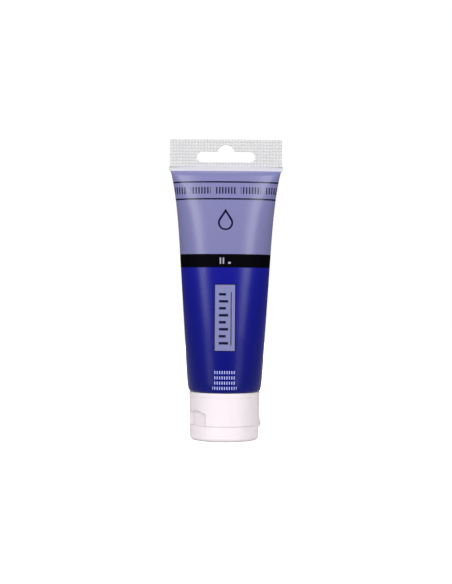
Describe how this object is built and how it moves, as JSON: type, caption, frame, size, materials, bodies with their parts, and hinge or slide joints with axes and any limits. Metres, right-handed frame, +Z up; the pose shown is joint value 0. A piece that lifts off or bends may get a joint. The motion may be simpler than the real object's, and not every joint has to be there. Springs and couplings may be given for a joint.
{
  "type": "squeeze paint tube",
  "caption": "Squeeze tube of artists' paint with a flat hang header and a screw-on flip-top cap it stands on.",
  "frame": {"origin": "middle of the lid's flat face, at the base, on the tube's axis", "axes": "+Z up along the tube towards the hang header; +X along the flat header; the printed front faces -Y"},
  "size_m": [0.0502, 0.032, 0.1317],
  "materials": {
    "sleeve": "satin",
    "head": "satin",
    "paint": "gloss",
    "seal": "matte",
    "cap": "satin"
  },
  "bodies": {
    "cap": {"cap_base": "cap", "hinge_film": "cap"},
    "seal": {"seal_ring": "seal"},
    "tube": {"tube_sleeve": "sleeve", "tube_head": "head", "paint_fill": "paint"},
    "lid": {"cap_lid": "cap"}
  },
  "joints": [
    {"name": "cap_turn", "type": "hinge", "parent": "cap", "child": "seal", "pos_m": [0, 0, 0.012], "axis": [0, 0, 1], "range_deg": [0, 720]},
    {"name": "cap_travel", "type": "slide", "parent": "seal", "child": "tube", "axis": [0, 0, 1], "range_m": [0, 0.0062]},
    {"name": "lid_flip", "type": "hinge", "parent": "cap", "child": "lid", "pos_m": [0.01357, 0.00848, 0.0067], "axis": [0.5299, -0.848, 0], "range_deg": [0, 170], "deforming": ["hinge_film"]}
  ],
  "couplings": [
    {"joint": "cap_travel", "follows": "cap_turn", "m_per_rad": 0.00047746}
  ]
}
